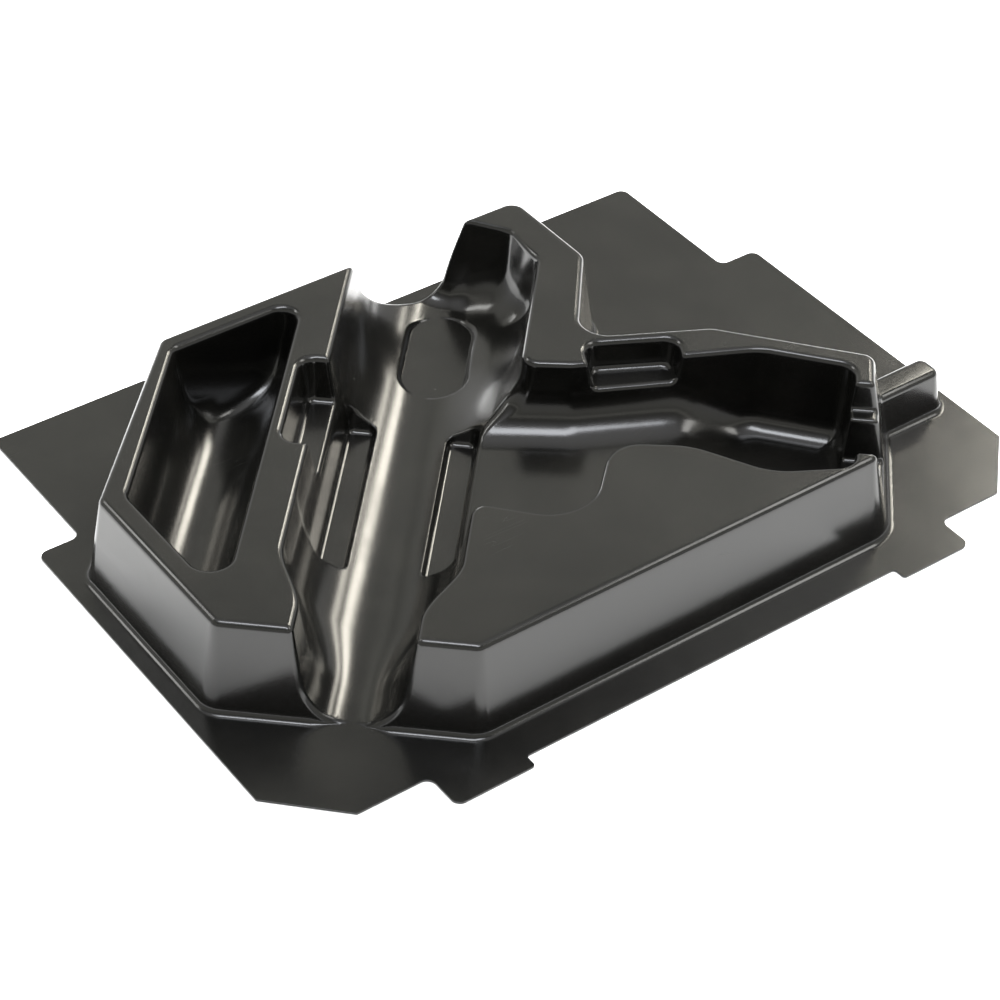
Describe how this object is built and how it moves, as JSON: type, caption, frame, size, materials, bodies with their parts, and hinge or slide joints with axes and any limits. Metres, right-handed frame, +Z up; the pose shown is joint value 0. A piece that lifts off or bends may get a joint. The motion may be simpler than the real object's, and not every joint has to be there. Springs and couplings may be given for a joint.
{
  "type": "thermoformed storage tray",
  "caption": "Black vacuum-formed tray insert with drafted recesses for a hand tool, its accessory and its lead, on a flat notched flange.",
  "frame": {"origin": "middle of the flange on its underside", "axes": "+X along the long side, +Y towards the back edge in the picture, +Z up out of the flange"},
  "size_m": [0.375, 0.281, 0.042],
  "materials": {
    "tray": "satin black sheet with a soft sheen"
  },
  "bodies": {
    "root": {"tray": "tray"}
  },
  "joints": []
}
